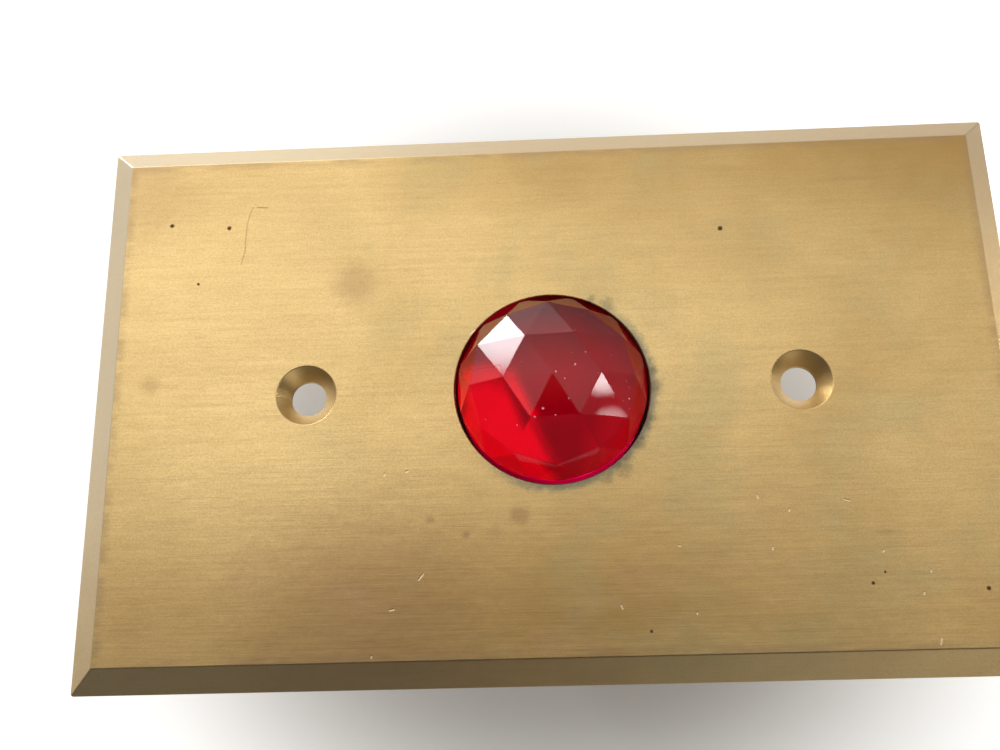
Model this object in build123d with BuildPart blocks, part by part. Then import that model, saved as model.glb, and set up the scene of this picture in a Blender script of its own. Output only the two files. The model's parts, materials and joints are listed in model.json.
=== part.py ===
"""Jewelled push button on a single-gang brass wall plate.

Frame: origin in the middle of the plate's back face, +X along the plate's long
side, +Z out of the wall. The mechanism hangs behind the plate, towards -Z.
Millimetres.
"""

import os
from math import cos, radians, sin, tan

from build123d import *

os.makedirs("parts", exist_ok=True)

# ---- plate: 4 1/2 x 2 3/4 in, 3/32 in thick ----
PLATE_LENGTH = 114.3
PLATE_WIDTH = 69.85
PLATE_THICK = 2.4
EDGE_LAND = 0.2
BEVEL_WIDTH = 3.0
EDGE_FILLET = 0.35
HOLE_FILLET = 0.2
SCREW_SPACING = 60.325
SCREW_HOLE_R = 2.2
COUNTERSINK_R = 3.75
COUNTERSINK_ANGLE = 82
JEWEL_HOLE_R = 23.8125 / 2
SEAT_R = 22.2
SEAT_DEPTH = 0.3

# ---- jewel: rose cut with six-fold rings of facet corners ----
FACET_FOLD = 6
FACET_TURN = 1.7
APEX_RISE = 6.35
INNER_RING_R = 5.75
INNER_RING_RISE = 5.80
VALLEY_RING_R = 10.2
VALLEY_RING_RISE = 2.6
PEAK_RING_R = 9.9
PEAK_RING_RISE = 3.25
GIRDLE_R = 11.5
FLANGE_R = 13.4
FLANGE_THICK = 1.6
GIRDLE_RISE = -0.1

# ---- stack behind the plate, from the plate's back towards the rear ----
STOP_WASHER_THICK = 0.8
LIP_THICK = 0.4
LIP_INNER_R = 12.15
CUSHION_THICK = 0.6
CUSHION_BORE_R = 11.2
REFLECTOR_THICK = 0.25
REFLECTOR_RIM_R = 11.6
REFLECTOR_FLOOR_R = 9.2
REFLECTOR_FLARE = 0.2
HOLDER_R = 14.2
HOLDER_BORE_R = 13.45
HOLDER_LOWER_R = 12.4
HOLDER_FLOOR_TOP = -7.9
HOLDER_FLOOR_THICK = 1.0
REFLECTOR_FLOOR = -4.3
RUNNING_GAP = 0.05
TRAVEL = 2.5

# ---- guide barrel ----
BARREL_R = 15.2
BARREL_LENGTH = 12.8
BARREL_FLANGE_R = 22.0
BARREL_FLANGE_THICK = 1.5
BARREL_RIM_CHAMFER = 0.25
BARREL_TAIL_CHAMFER = 0.4

# ---- stem, carrier and contact ring ----
STEM_R = 2.4
STEM_TAIL = 0.9
STEM_TAIL_CHAMFER = 0.4
STEM_THREAD_R = 1.42
STEM_THREAD_PROUD = 3.1
STEM_THREAD_CHAMFER = 0.3
COLLAR_R = 6.3
COLLAR_THICK = 1.5
CARRIER_WEB = 2.0
CARRIER_R = 12.6
CARRIER_BORE_R = 8.0
CARRIER_END = -15.0
CARRIER_FILLET = 0.4
CONTACT_RING_THICK = 0.6
CONTACT_RING_R = 12.3
CONTACT_RING_BORE_R = 8.5
CONTACT_RADIUS = 10.4
RING_RIVETS = 3
RIVET_R = 0.8
RIVET_LENGTH = 2.4
RIVET_HEAD_R = 1.35
RIVET_HEAD_THICK = 0.6

# ---- return spring ----
SPRING_WIRE_R = 0.4
SPRING_R = 4.6
SPRING_TURNS = 5.5

# ---- base ----
BASE_TOP = -20.0
BASE_THICK = 6.0
BASE_R = 22.0
BASE_FILLET = 0.7
HUB_R = 7.5
HUB_LENGTH = 3.2
HUB_FILLET = 0.5
SPRING_POCKET_R = 6.5
SPRING_POCKET_DEPTH = 2.5
BUSH_R = 4.0
BUSH_FLANGE_R = 6.2
BUSH_FLANGE_THICK = 0.8

# ---- fixed contacts and terminals ----
STRIP_THICK = 0.8
STRIP_WIDTH = 7.5
STRIP_INNER_X = 8.2
STRIP_DROP_X = 13.3
STRIP_OUTER_X = 20.6
STRIP_BEND_R = 0.9
BUTTON_R = 1.7
BUTTON_EDGE = 0.5
BUTTON_SHANK_R = 0.9
TERMINAL_X = 16.8
INSERT_R = 3.0
INSERT_LENGTH = 4.8
TERMINAL_SCREW_R = 1.75
TERMINAL_HEAD_R = 3.4
TERMINAL_HEAD_THICK = 1.9
TERMINAL_HEAD_EDGE = 0.9
TERMINAL_THREAD_GAP = 0.03
TERMINAL_TIP = 0.6
TERMINAL_TIP_CHAMFER = 0.35
SLOT_WIDTH = 0.9
SLOT_DEPTH = 1.1
SLOT_TURNS = ((-1, 24), (1, -51))
CLAMP_SIZE = 7.0
CLAMP_THICK = 0.8
CLAMP_CORNER_R = 0.6
CLAMP_CHAMFER = 0.2
RIB_X = 14.4
RIB_LENGTH = 11.5
RIB_GAP = 9.0
RIB_WIDTH = 1.6
RIB_RISE = 4.2

# ---- studs, number 4-40 ----
STUD_R = 1.42
STUD_CIRCLE_R = 18.0
STUDS = 4
STUD_POCKET = 1.0
SPACER_R = 2.5
FLAT_WASHER_R = 3.5
FLAT_WASHER_THICK = 0.5
LOCK_WASHER_R = 2.65
LOCK_WASHER_THICK = 0.6
NUT_FLATS = 6.35
NUT_THICK = 2.38
STUD_PROUD = 0.9
STUD_CHAMFER = 0.3
STUD_ANGLE = 45
LOCK_WASHER_CUT = 0.35
LOCK_WASHER_SLANT = 25
NUT_THREAD_GAP = 0.02
CLEARANCE = 0.1

# ---- fibre washer and E-clip on the stem's tail ----
END_FLOAT = 0.3
END_WASHER_R = 5.2
END_WASHER_THICK = 0.5
CLIP_THICK = 0.6
CLIP_R = 4.6
CLIP_RIM_BORE_R = 3.4
CLIP_GROOVE = 0.7
CLIP_BITE_R = 1.72
CLIP_LUG_R = 2.7
CLIP_LUG_LENGTH = 2.2
CLIP_LUG_WIDTH = 1.7
CLIP_MOUTH_WIDTH = 3.4
CLIP_MOUTH_LENGTH = 5.0
CLIP_MOUTH_Y = -4.0

# ---- worked out ----
PLATE_FRONT = PLATE_THICK
HOLDER_TOP = SEAT_DEPTH - STOP_WASHER_THICK
FLANGE_TOP = HOLDER_TOP - LIP_THICK
FLANGE_BACK = FLANGE_TOP - FLANGE_THICK
CUSHION_BACK = FLANGE_BACK - CUSHION_THICK
HOLDER_STEP = CUSHION_BACK - REFLECTOR_THICK
HOLDER_BACK = HOLDER_FLOOR_TOP - HOLDER_FLOOR_THICK
STEM_TOP = HOLDER_FLOOR_TOP + STEM_THREAD_PROUD
BARREL_FLANGE_BACK = SEAT_DEPTH - BARREL_FLANGE_THICK
BARREL_END = SEAT_DEPTH - BARREL_LENGTH
WEB_BACK = HOLDER_BACK - CARRIER_WEB
COLLAR_BACK = WEB_BACK - COLLAR_THICK
RING_BACK = CARRIER_END - CONTACT_RING_THICK
BASE_BACK = BASE_TOP - BASE_THICK
BUSH_SEAT = BASE_TOP - SPRING_POCKET_DEPTH
SPRING_SEAT = BUSH_SEAT + BUSH_FLANGE_THICK
BUSH_END = BASE_BACK - HUB_LENGTH
END_WASHER_TOP = BUSH_END - END_FLOAT
CLIP_TOP = END_WASHER_TOP - END_WASHER_THICK
STEM_END = CLIP_TOP - CLIP_THICK - STEM_TAIL
STRIP_TOP = BASE_TOP + STRIP_THICK
STRIP_BACK = BASE_BACK - STRIP_THICK
BUTTON_TOP = RING_BACK - TRAVEL
CLAMP_BACK = STRIP_BACK - CLAMP_THICK
FLAT_WASHER_BACK = BASE_BACK - FLAT_WASHER_THICK
NUT_TOP = FLAT_WASHER_BACK - LOCK_WASHER_THICK
NUT_BACK = NUT_TOP - NUT_THICK
STUD_END = NUT_BACK - STUD_PROUD
LOOSE_R = FLANGE_R - RUNNING_GAP
SCREW_TIP = BASE_BACK + INSERT_LENGTH - TERMINAL_TIP
SCREW_BODY_R = TERMINAL_SCREW_R - TERMINAL_THREAD_GAP
SCREW_BACK = CLAMP_BACK - TERMINAL_HEAD_THICK
FACET_STEP = 360 / FACET_FOLD


def save(builder, label):
    """Labels a finished piece and writes its STEP file."""
    builder.part.label = label
    export_step(builder.part, f"parts/{label}.step")


def ring_profile(outer, inner, top, bottom):
    """Half section of a plain ring in the XZ plane, for a revolve about the Z axis."""
    with BuildSketch(Plane.XZ) as half:
        with Locations(((outer + inner) / 2, (top + bottom) / 2)):
            Rectangle(outer - inner, top - bottom)
    return half.sketch


def hexagon_nut(flats, bore, top, thick):
    """Chamfered hexagon nut about the Z axis, its flats towards +Y and -Y."""
    corner = flats / 2 / cos(radians(30))
    drop = (corner - flats / 2) * tan(radians(30))
    with BuildPart(mode=Mode.PRIVATE) as nut:
        with BuildSketch(Plane.XY.offset(top)):
            RegularPolygon(corner, 6)
            Circle(bore, mode=Mode.SUBTRACT)
        extrude(amount=-thick)
        with BuildSketch(Plane.XZ):
            with BuildLine():
                Polyline(
                    (0, top),
                    (flats / 2, top),
                    (corner, top - drop),
                    (corner, top - thick + drop),
                    (flats / 2, top - thick),
                    (0, top - thick),
                    close=True,
                )
            make_face()
        revolve(axis=Axis.Z, mode=Mode.INTERSECT)
    return nut.part


def split_washer(outer, bore, top, thick):
    """Spring lock washer about the Z axis, with a slanted cut."""
    with BuildPart(mode=Mode.PRIVATE) as washer:
        with BuildSketch(Plane.XY.offset(top)):
            Circle(outer)
            Circle(bore, mode=Mode.SUBTRACT)
        extrude(amount=-thick)
        cut_centre = ((outer + bore) / 2, 0, top - thick / 2)
        with Locations(Location(cut_centre, (LOCK_WASHER_SLANT, 0, 0))):
            Box(2 * (outer - bore), LOCK_WASHER_CUT, 3 * thick, mode=Mode.SUBTRACT)
    return washer.part


def at_studs():
    """The four stud positions."""
    return PolarLocations(STUD_CIRCLE_R, STUDS, start_angle=STUD_ANGLE)


def at_rivets():
    """The contact ring's rivet positions."""
    return PolarLocations(CONTACT_RADIUS, RING_RIVETS, start_angle=90)


def facet_ring(radius, rise, start):
    """Corners of one ring of the rose cut, rise above the plate's front face."""
    angles = [radians(FACET_TURN + start + FACET_STEP * i) for i in range(FACET_FOLD)]
    return [(radius * cos(a), radius * sin(a), PLATE_FRONT + rise) for a in angles]


# ---- face plate ----
with BuildPart() as face_plate:
    with BuildSketch():
        Rectangle(PLATE_LENGTH, PLATE_WIDTH)
    extrude(amount=EDGE_LAND)
    with BuildSketch(Plane.XY.offset(EDGE_LAND)):
        Rectangle(PLATE_LENGTH, PLATE_WIDTH)
    with BuildSketch(Plane.XY.offset(PLATE_THICK)):
        Rectangle(PLATE_LENGTH - 2 * BEVEL_WIDTH, PLATE_WIDTH - 2 * BEVEL_WIDTH)
    loft()
    outline = face_plate.edges().filter_by(Plane.XY)
    mitres = face_plate.edges() - outline
    front_edges = outline.group_by(Axis.Z)[-1]
    fillet(mitres + front_edges, EDGE_FILLET)
    with BuildSketch():
        Circle(JEWEL_HOLE_R)
    extrude(amount=PLATE_THICK, mode=Mode.SUBTRACT)
    with Locations(Plane.XY.offset(PLATE_THICK)):
        with GridLocations(SCREW_SPACING, 1, 2, 1):
            CounterSinkHole(SCREW_HOLE_R, COUNTERSINK_R, PLATE_THICK, COUNTERSINK_ANGLE)
    hole_rims = face_plate.edges().filter_by(GeomType.CIRCLE).group_by(Axis.Z)[-1]
    fillet(hole_rims, HOLE_FILLET)
    with BuildSketch():
        Circle(SEAT_R)
    extrude(amount=SEAT_DEPTH, mode=Mode.SUBTRACT)
    with BuildSketch():
        with at_studs():
            Circle(STUD_R)
    extrude(amount=STUD_POCKET, mode=Mode.SUBTRACT)
save(face_plate, "face_plate")

# ---- jewel: faceted dome on a girdle, with a flange behind the plate ----
girdle_corner_r = GIRDLE_R / cos(radians(FACET_STEP / 4))
girdle_corners = facet_ring(girdle_corner_r, GIRDLE_RISE, FACET_STEP / 4)
girdle_corners += facet_ring(girdle_corner_r, GIRDLE_RISE, -FACET_STEP / 4)
dome_corners = [(0, 0, PLATE_FRONT + APEX_RISE)]
dome_corners += facet_ring(INNER_RING_R, INNER_RING_RISE, 0)
dome_corners += facet_ring(VALLEY_RING_R, VALLEY_RING_RISE, FACET_STEP / 2)
dome_corners += facet_ring(PEAK_RING_R, PEAK_RING_RISE, 0)
foot_corners = [(x, y, FLANGE_BACK) for x, y, _ in girdle_corners]

with BuildPart() as jewel:
    ConvexPolyhedron(dome_corners + girdle_corners + foot_corners)
    with BuildSketch(Plane.XZ):
        with BuildLine():
            Polyline(
                (0, FLANGE_BACK),
                (FLANGE_R, FLANGE_BACK),
                (FLANGE_R, FLANGE_TOP),
                (GIRDLE_R, FLANGE_TOP),
                (GIRDLE_R, PLATE_FRONT + APEX_RISE + 1),
                (0, PLATE_FRONT + APEX_RISE + 1),
                close=True,
            )
        make_face()
    revolve(axis=Axis.Z, mode=Mode.INTERSECT)
    revolve(ring_profile(FLANGE_R, GIRDLE_R - 1, FLANGE_TOP, FLANGE_BACK), axis=Axis.Z)
save(jewel, "jewel")

# ---- holder: cup with its lip spun over the jewel's flange ----
with BuildPart() as jewel_holder:
    with BuildSketch(Plane.XZ) as holder_section:
        with BuildLine():
            Polyline(
                (STEM_THREAD_R + CLEARANCE, HOLDER_BACK),
                (HOLDER_R, HOLDER_BACK),
                (HOLDER_R, HOLDER_TOP),
                (LIP_INNER_R, HOLDER_TOP),
                (LIP_INNER_R, FLANGE_TOP),
                (HOLDER_BORE_R, FLANGE_TOP),
                (HOLDER_BORE_R, HOLDER_STEP),
                (HOLDER_LOWER_R, HOLDER_STEP),
                (HOLDER_LOWER_R, HOLDER_FLOOR_TOP),
                (STEM_THREAD_R + CLEARANCE, HOLDER_FLOOR_TOP),
                close=True,
            )
        make_face()
        rim_corner = holder_section.vertices().group_by(Axis.Y)[-1].sort_by(Axis.X)[-1]
        fillet(rim_corner, LIP_THICK)
    revolve(axis=Axis.Z)
save(jewel_holder, "jewel_holder")

# ---- cork cushion and tinned reflector behind the jewel ----
with BuildPart() as jewel_cushion:
    revolve(ring_profile(LOOSE_R, CUSHION_BORE_R, FLANGE_BACK, CUSHION_BACK), axis=Axis.Z)
save(jewel_cushion, "jewel_cushion")

with BuildPart() as reflector:
    with BuildSketch(Plane.XZ):
        with BuildLine():
            Polyline(
                (LOOSE_R, CUSHION_BACK),
                (REFLECTOR_RIM_R, CUSHION_BACK),
                (REFLECTOR_FLOOR_R, REFLECTOR_FLOOR),
                (0, REFLECTOR_FLOOR),
                (0, REFLECTOR_FLOOR - REFLECTOR_THICK),
                (REFLECTOR_FLOOR_R + REFLECTOR_FLARE, REFLECTOR_FLOOR - REFLECTOR_THICK),
                (REFLECTOR_RIM_R + REFLECTOR_FLARE, HOLDER_STEP),
                (LOOSE_R, HOLDER_STEP),
                close=True,
            )
        make_face()
    revolve(axis=Axis.Z)
save(reflector, "reflector")

# ---- fibre washer that the holder's lip stops on ----
with BuildPart() as stop_washer:
    washer_section = ring_profile(
        HOLDER_R - RUNNING_GAP, LIP_INNER_R + CLEARANCE, SEAT_DEPTH, HOLDER_TOP
    )
    revolve(washer_section, axis=Axis.Z)
save(stop_washer, "stop_washer")

# ---- guide barrel: flanged tube in the seat in the plate's back ----
with BuildPart() as guide_barrel:
    with BuildSketch(Plane.XZ) as barrel_section:
        with BuildLine():
            Polyline(
                (HOLDER_R + RUNNING_GAP, SEAT_DEPTH),
                (BARREL_FLANGE_R, SEAT_DEPTH),
                (BARREL_FLANGE_R, BARREL_FLANGE_BACK),
                (BARREL_R, BARREL_FLANGE_BACK),
                (BARREL_R, BARREL_END),
                (HOLDER_R + RUNNING_GAP, BARREL_END),
                close=True,
            )
        make_face()
        tail = barrel_section.vertices().group_by(Axis.Y)[0]
        chamfer(tail.sort_by(Axis.X)[-1], BARREL_TAIL_CHAMFER)
        chamfer(barrel_section.vertices().sort_by(Axis.X)[-2:], BARREL_RIM_CHAMFER)
    revolve(axis=Axis.Z)
    with BuildSketch(Plane.XY.offset(SEAT_DEPTH)):
        with at_studs():
            Circle(STUD_R + CLEARANCE)
    extrude(amount=-BARREL_FLANGE_THICK, mode=Mode.SUBTRACT)
save(guide_barrel, "guide_barrel")

# ---- plunger stem: thread, collar, shank and clip groove ----
with BuildPart() as plunger_stem:
    with BuildSketch(Plane.XZ) as stem_section:
        with BuildLine():
            Polyline(
                (0, STEM_TOP),
                (STEM_THREAD_R - STEM_THREAD_CHAMFER, STEM_TOP),
                (STEM_THREAD_R, STEM_TOP - STEM_THREAD_CHAMFER),
                (STEM_THREAD_R, WEB_BACK),
                (COLLAR_R, WEB_BACK),
                (COLLAR_R, COLLAR_BACK),
                (STEM_R, COLLAR_BACK),
                (STEM_R, CLIP_TOP),
                (STEM_R - CLIP_GROOVE, CLIP_TOP),
                (STEM_R - CLIP_GROOVE, CLIP_TOP - CLIP_THICK),
                (STEM_R, CLIP_TOP - CLIP_THICK),
                (STEM_R, STEM_END + STEM_TAIL_CHAMFER),
                (STEM_R - STEM_TAIL_CHAMFER, STEM_END),
                (0, STEM_END),
                close=True,
            )
        make_face()
    revolve(axis=Axis.Z)
save(plunger_stem, "plunger_stem")

# ---- lock washer and nut inside the holder ----
with BuildPart() as stem_lock_washer:
    add(
        split_washer(
            LOCK_WASHER_R,
            STEM_THREAD_R + CLEARANCE,
            HOLDER_FLOOR_TOP + LOCK_WASHER_THICK,
            LOCK_WASHER_THICK,
        )
    )
save(stem_lock_washer, "stem_lock_washer")

with BuildPart() as stem_nut:
    add(
        hexagon_nut(
            NUT_FLATS,
            STEM_THREAD_R + NUT_THREAD_GAP,
            HOLDER_FLOOR_TOP + LOCK_WASHER_THICK + NUT_THICK,
            NUT_THICK,
        )
    )
save(stem_nut, "stem_nut")

# ---- insulating carrier under the holder ----
with BuildPart() as contact_carrier:
    with BuildSketch(Plane.XZ) as carrier_section:
        with BuildLine():
            Polyline(
                (STEM_THREAD_R + CLEARANCE, HOLDER_BACK),
                (CARRIER_R, HOLDER_BACK),
                (CARRIER_R, CARRIER_END),
                (CARRIER_BORE_R, CARRIER_END),
                (CARRIER_BORE_R, WEB_BACK),
                (STEM_THREAD_R + CLEARANCE, WEB_BACK),
                close=True,
            )
        make_face()
        carrier_rim = carrier_section.vertices().sort_by(Axis.X)[-2:]
        fillet(carrier_rim, CARRIER_FILLET)
    revolve(axis=Axis.Z)
    with BuildSketch(Plane.XY.offset(CARRIER_END)):
        with at_rivets():
            Circle(RIVET_R)
    extrude(amount=RIVET_LENGTH, mode=Mode.SUBTRACT)
save(contact_carrier, "contact_carrier")

# ---- contact ring and its rivets ----
with BuildPart() as contact_ring:
    with BuildSketch(Plane.XY.offset(CARRIER_END)):
        Circle(CONTACT_RING_R)
        Circle(CONTACT_RING_BORE_R, mode=Mode.SUBTRACT)
        with at_rivets():
            Circle(RIVET_R, mode=Mode.SUBTRACT)
    extrude(amount=-CONTACT_RING_THICK)
save(contact_ring, "contact_ring")

with BuildPart(mode=Mode.PRIVATE) as ring_rivet:
    with BuildSketch(Plane.XZ):
        with BuildLine():
            Polyline(
                (RIVET_HEAD_R, RING_BACK),
                (RIVET_R, RING_BACK),
                (RIVET_R, CARRIER_END + RIVET_LENGTH),
                (0, CARRIER_END + RIVET_LENGTH),
                (0, RING_BACK - RIVET_HEAD_THICK),
            )
            TangentArc(
                (0, RING_BACK - RIVET_HEAD_THICK),
                (RIVET_HEAD_R, RING_BACK),
                tangent=(1, 0),
            )
        make_face()
    revolve(axis=Axis.Z)

with BuildPart() as contact_ring_rivets:
    with at_rivets():
        add(ring_rivet.part)
save(contact_ring_rivets, "contact_ring_rivets")

# ---- return spring, from the bush's flange to the stem's collar ----
coil_height = COLLAR_BACK - SPRING_SEAT - 2 * SPRING_WIRE_R
coil_start = Plane.XY.offset(SPRING_SEAT + SPRING_WIRE_R)

with BuildPart() as return_spring:
    with BuildLine(coil_start) as coil:
        Helix(coil_height / SPRING_TURNS, coil_height, SPRING_R)
    with BuildSketch(Plane(origin=coil.line @ 0, z_dir=coil.line % 0)):
        Circle(SPRING_WIRE_R)
    sweep(path=coil.line, is_frenet=True)
save(return_spring, "return_spring")

# ---- moulded base ----
with BuildPart() as contact_base:
    with BuildSketch(Plane.XZ) as base_section:
        with BuildLine():
            Polyline(
                (BUSH_R, BUSH_SEAT),
                (SPRING_POCKET_R, BUSH_SEAT),
                (SPRING_POCKET_R, BASE_TOP),
                (BASE_R, BASE_TOP),
                (BASE_R, BASE_BACK),
                (HUB_R, BASE_BACK),
                (HUB_R, BUSH_END),
                (BUSH_R, BUSH_END),
                close=True,
            )
        make_face()
        fillet(base_section.vertices().sort_by(Axis.X)[-2:], BASE_FILLET)
        hub_rim = base_section.vertices().group_by(Axis.Y)[0].sort_by(Axis.X)[-1]
        fillet(hub_rim, HUB_FILLET)
    revolve(axis=Axis.Z)
    with BuildSketch(Plane.XY.offset(BASE_BACK)):
        with GridLocations(2 * RIB_X, RIB_GAP + RIB_WIDTH, 2, 2):
            SlotOverall(RIB_LENGTH, RIB_WIDTH)
    extrude(amount=-RIB_RISE)
    with BuildSketch(Plane.XY.offset(BASE_TOP)):
        with GridLocations(2 * (STRIP_DROP_X - STRIP_THICK / 2), 1, 2, 1):
            Rectangle(STRIP_THICK + CLEARANCE, STRIP_WIDTH + CLEARANCE)
        with at_studs():
            Circle(STUD_R + CLEARANCE)
    extrude(amount=-BASE_THICK, mode=Mode.SUBTRACT)
    with BuildSketch(Plane.XY.offset(BASE_BACK)):
        with GridLocations(2 * TERMINAL_X, 1, 2, 1):
            Circle(INSERT_R)
    extrude(amount=INSERT_LENGTH, mode=Mode.SUBTRACT)
save(contact_base, "contact_base")

# ---- bush in the base, and seat of the spring ----
with BuildPart() as guide_bush:
    with BuildSketch(Plane.XZ):
        with BuildLine():
            Polyline(
                (STEM_R + RUNNING_GAP, SPRING_SEAT),
                (BUSH_FLANGE_R, SPRING_SEAT),
                (BUSH_FLANGE_R, BUSH_SEAT),
                (BUSH_R, BUSH_SEAT),
                (BUSH_R, BUSH_END),
                (STEM_R + RUNNING_GAP, BUSH_END),
                close=True,
            )
        make_face()
    revolve(axis=Axis.Z)
save(guide_bush, "guide_bush")

# ---- fixed contacts: strips bent from the contact to the terminal ----
for side, label in ((-1, "fixed_contact_left"), (1, "fixed_contact_right")):
    with BuildPart() as fixed_contact:
        with BuildSketch(Plane.XZ.offset(-STRIP_WIDTH / 2)) as strip_section:
            with BuildLine():
                Polyline(
                    (side * STRIP_INNER_X, BASE_TOP),
                    (side * STRIP_INNER_X, STRIP_TOP),
                    (side * STRIP_DROP_X, STRIP_TOP),
                    (side * STRIP_DROP_X, BASE_BACK),
                    (side * STRIP_OUTER_X, BASE_BACK),
                    (side * STRIP_OUTER_X, STRIP_BACK),
                    (side * (STRIP_DROP_X - STRIP_THICK), STRIP_BACK),
                    (side * (STRIP_DROP_X - STRIP_THICK), BASE_TOP),
                    close=True,
                )
            make_face()
            levels = strip_section.vertices().group_by(Axis.Y)
            front_bend = levels[-1].sort_by(lambda corner: side * corner.X)[-1]
            rear_bend = levels[0].sort_by(lambda corner: side * corner.X)[0]
            fillet([front_bend, rear_bend], STRIP_BEND_R)
        extrude(amount=STRIP_WIDTH)
        with BuildSketch(Plane.XY.offset(STRIP_TOP)):
            with Locations((side * CONTACT_RADIUS, 0)):
                Circle(BUTTON_SHANK_R)
        extrude(amount=-STRIP_THICK, mode=Mode.SUBTRACT)
        with BuildSketch(Plane.XY.offset(STRIP_BACK)):
            with Locations((side * TERMINAL_X, 0)):
                Circle(TERMINAL_SCREW_R + CLEARANCE)
        extrude(amount=STRIP_THICK, mode=Mode.SUBTRACT)
    save(fixed_contact, label)

# ---- silver contact buttons riveted into the strips ----
with BuildPart(mode=Mode.PRIVATE) as contact_button:
    with BuildSketch(Plane.XZ):
        with BuildLine():
            Polyline(
                (0, BUTTON_TOP),
                (0, BASE_TOP),
                (BUTTON_SHANK_R, BASE_TOP),
                (BUTTON_SHANK_R, STRIP_TOP),
                (BUTTON_R, STRIP_TOP),
                (BUTTON_R, STRIP_TOP + BUTTON_EDGE),
            )
            TangentArc(
                (0, BUTTON_TOP),
                (BUTTON_R, STRIP_TOP + BUTTON_EDGE),
                tangent=(1, 0),
            )
        make_face()
    revolve(axis=Axis.Z)

with BuildPart() as contact_buttons:
    with GridLocations(2 * CONTACT_RADIUS, 1, 2, 1):
        add(contact_button.part)
save(contact_buttons, "contact_buttons")

# ---- terminals: insert, wire clamp and binding screw on each side ----
with BuildPart() as terminal_inserts:
    with BuildSketch(Plane.XY.offset(BASE_BACK)):
        with GridLocations(2 * TERMINAL_X, 1, 2, 1):
            Circle(INSERT_R)
            Circle(TERMINAL_SCREW_R, mode=Mode.SUBTRACT)
    extrude(amount=INSERT_LENGTH)
save(terminal_inserts, "terminal_inserts")

with BuildPart() as terminal_clamps:
    with BuildSketch(Plane.XY.offset(STRIP_BACK)):
        with GridLocations(2 * TERMINAL_X, 1, 2, 1):
            RectangleRounded(CLAMP_SIZE, CLAMP_SIZE, CLAMP_CORNER_R)
            Circle(TERMINAL_SCREW_R + CLEARANCE, mode=Mode.SUBTRACT)
    extrude(amount=-CLAMP_THICK)
    chamfer(terminal_clamps.faces().sort_by(Axis.Z)[:2].edges(), CLAMP_CHAMFER)
save(terminal_clamps, "terminal_clamps")

with BuildPart(mode=Mode.PRIVATE) as terminal_screw:
    with BuildSketch(Plane.XZ):
        with BuildLine():
            Polyline(
                (0, SCREW_BACK),
                (0, SCREW_TIP),
                (SCREW_BODY_R - TERMINAL_TIP_CHAMFER, SCREW_TIP),
                (SCREW_BODY_R, SCREW_TIP - TERMINAL_TIP_CHAMFER),
                (SCREW_BODY_R, CLAMP_BACK),
                (TERMINAL_HEAD_R, CLAMP_BACK),
                (TERMINAL_HEAD_R, CLAMP_BACK - TERMINAL_HEAD_EDGE),
            )
            TangentArc(
                (0, SCREW_BACK),
                (TERMINAL_HEAD_R, CLAMP_BACK - TERMINAL_HEAD_EDGE),
                tangent=(1, 0),
            )
        make_face()
    revolve(axis=Axis.Z)
    with Locations((0, 0, SCREW_BACK)):
        Box(SLOT_WIDTH, 2 * TERMINAL_HEAD_R, 2 * SLOT_DEPTH, mode=Mode.SUBTRACT)

with BuildPart() as terminal_screws:
    for side, slot_turn in SLOT_TURNS:
        with Locations(Location((side * TERMINAL_X, 0, 0), (0, 0, slot_turn))):
            add(terminal_screw.part)
save(terminal_screws, "terminal_screws")

# ---- studs, spacers, washers and nuts ----
with BuildPart() as mounting_studs:
    with BuildSketch(Plane.XY.offset(STUD_POCKET)):
        with at_studs():
            Circle(STUD_R)
    extrude(amount=STUD_END - STUD_POCKET)
    chamfer(mounting_studs.faces().sort_by(Axis.Z)[:STUDS].edges(), STUD_CHAMFER)
save(mounting_studs, "mounting_studs")

with BuildPart() as spacer_tubes:
    with BuildSketch(Plane.XY.offset(BARREL_FLANGE_BACK)):
        with at_studs():
            Circle(SPACER_R)
            Circle(STUD_R + CLEARANCE, mode=Mode.SUBTRACT)
    extrude(amount=BASE_TOP - BARREL_FLANGE_BACK)
save(spacer_tubes, "spacer_tubes")

with BuildPart() as stud_washers:
    with BuildSketch(Plane.XY.offset(BASE_BACK)):
        with at_studs():
            Circle(FLAT_WASHER_R)
            Circle(STUD_R + CLEARANCE, mode=Mode.SUBTRACT)
    extrude(amount=-FLAT_WASHER_THICK)
save(stud_washers, "stud_washers")

with BuildPart() as stud_lock_washers:
    with at_studs():
        add(split_washer(LOCK_WASHER_R, STUD_R + CLEARANCE, FLAT_WASHER_BACK, LOCK_WASHER_THICK))
save(stud_lock_washers, "stud_lock_washers")

with BuildPart() as stud_nuts:
    with at_studs():
        add(hexagon_nut(NUT_FLATS, STUD_R + NUT_THREAD_GAP, NUT_TOP, NUT_THICK))
save(stud_nuts, "stud_nuts")

# ---- tail of the stem: fibre washer and E-clip ----
with BuildPart() as stem_end_washer:
    end_washer_section = ring_profile(
        END_WASHER_R, STEM_R + RUNNING_GAP, END_WASHER_TOP, CLIP_TOP
    )
    revolve(end_washer_section, axis=Axis.Z)
save(stem_end_washer, "stem_end_washer")

with BuildPart() as retaining_clip:
    with BuildSketch(Plane.XY.offset(CLIP_TOP)):
        Circle(CLIP_R)
        Circle(CLIP_RIM_BORE_R, mode=Mode.SUBTRACT)
        with PolarLocations(CLIP_LUG_R, 3, start_angle=90):
            Rectangle(CLIP_LUG_LENGTH, CLIP_LUG_WIDTH)
        Circle(CLIP_BITE_R, mode=Mode.SUBTRACT)
        with Locations((0, CLIP_MOUTH_Y)):
            Rectangle(CLIP_MOUTH_WIDTH, CLIP_MOUTH_LENGTH, mode=Mode.SUBTRACT)
    extrude(amount=-CLIP_THICK)
save(retaining_clip, "retaining_clip")
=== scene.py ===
"""Looks for the jewelled push button on its brass wall plate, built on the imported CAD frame."""

import json
import math

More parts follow.
